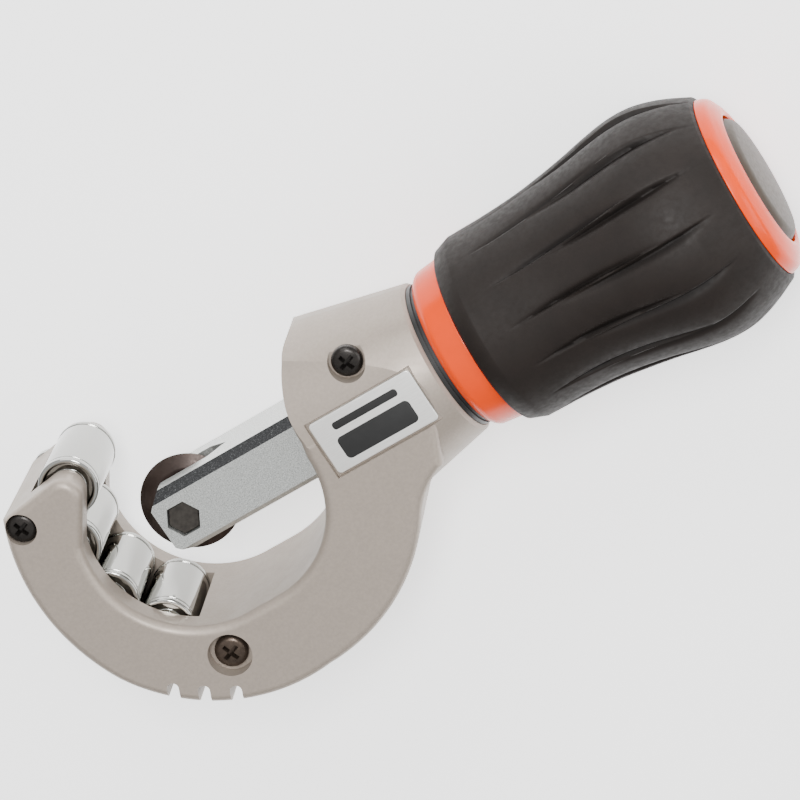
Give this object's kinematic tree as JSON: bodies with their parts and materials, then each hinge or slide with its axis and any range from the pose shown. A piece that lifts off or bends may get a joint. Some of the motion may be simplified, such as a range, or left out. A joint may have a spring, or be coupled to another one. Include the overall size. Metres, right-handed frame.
{
  "type": "pipe cutter",
  "caption": "Tube cutter with a C frame, guide rollers, a cutting wheel on a sliding fork and a rubber-sleeved feed knob.",
  "frame": {"origin": "centre of the throat, where the largest pipe's axis lies, at half thickness", "axes": "+X along the knob's axis away from the jaw, +Y in the frame's plane towards its open side, +Z the thickness, out of the face with the badge"},
  "size_m": [0.155, 0.0594, 0.0454],
  "materials": {
    "cast_metal": "satin, fine cast grain, clear lacquer",
    "zinc_steel": "satin zinc plate",
    "black_steel": "black oxide, satin",
    "bronze_steel": "dark bronze oxide, satin",
    "badge_metal": "brushed",
    "black_ring": "satin",
    "spring_steel": "oiled spring steel",
    "zinc_slide": "speckled zinc plate",
    "tool_steel": "dark hardened steel, ground edge",
    "dark_pin": "dark steel, satin",
    "bronze": "machined",
    "orange_plastic": "gloss",
    "grip_rubber": "satin",
    "thread_steel": "machined",
    "cap_plastic": "satin",
    "seal_rubber": "matte",
    "chrome_roller": "polished"
  },
  "bodies": {
    "frame": {"frame": "cast_metal", "pin_keeper": "zinc_steel", "jaw_screw": "black_steel", "lower_screw": "bronze_steel", "barrel_screw": "black_steel", "badge_plate": "badge_metal", "barrel_ring": "black_ring", "thrust_washer": "spring_steel", "retaining_ring": "spring_steel", "roller_pin_1": "zinc_steel", "roller_pin_2": "zinc_steel", "roller_pin_3": "zinc_steel", "roller_pin_4": "zinc_steel"},
    "roller_1_body": {"roller_1": "chrome_roller"},
    "roller_2_body": {"roller_2": "chrome_roller"},
    "roller_3_body": {"roller_3": "chrome_roller"},
    "roller_4_body": {"roller_4": "chrome_roller"},
    "slide": {"slide": "zinc_slide", "wheel_axle": "dark_pin", "axle_clip": "spring_steel", "feed_nut": "bronze"},
    "wheel": {"cutting_wheel": "tool_steel"},
    "knob": {"knob_core": "orange_plastic", "grip_sleeve": "grip_rubber", "feed_screw": "thread_steel", "anchor_nut": "zinc_steel"},
    "cap": {"end_cap": "cap_plastic", "cap_ring": "seal_rubber", "spare_wheel": "tool_steel"}
  },
  "joints": [
    {"name": "knob_turn", "type": "hinge", "parent": "frame", "child": "knob", "pos_m": [0.06, 0, 0], "axis": [1, 0, 0], "range_deg": [-540, 3510]},
    {"name": "slide_feed", "type": "slide", "parent": "frame", "child": "slide", "axis": [1, 0, 0], "range_m": [-0.0046, 0.0294]},
    {"name": "wheel_spin", "type": "hinge", "parent": "slide", "child": "wheel", "pos_m": [-0.0018, 0, 0], "axis": [0, 0, 1], "continuous": true},
    {"name": "roller_1_spin", "type": "hinge", "parent": "frame", "child": "roller_1_body", "pos_m": [-0.01655, 0.01627, 0], "axis": [0, 0, 1], "continuous": true},
    {"name": "roller_2_spin", "type": "hinge", "parent": "frame", "child": "roller_2_body", "pos_m": [-0.02268, 0.00626, 0], "axis": [0, 0, 1], "continuous": true},
    {"name": "roller_3_spin", "type": "hinge", "parent": "frame", "child": "roller_3_body", "pos_m": [-0.02268, -0.00626, 0], "axis": [0, 0, 1], "continuous": true},
    {"name": "roller_4_spin", "type": "hinge", "parent": "frame", "child": "roller_4_body", "pos_m": [-0.01655, -0.01627, 0], "axis": [0, 0, 1], "continuous": true},
    {"name": "cap_pull", "type": "slide", "parent": "knob", "child": "cap", "axis": [1, 0, 0], "range_m": [0, 0.02]}
  ],
  "couplings": [
    {"joint": "slide_feed", "follows": "knob_turn", "m_per_rad": 0.00047746}
  ]
}
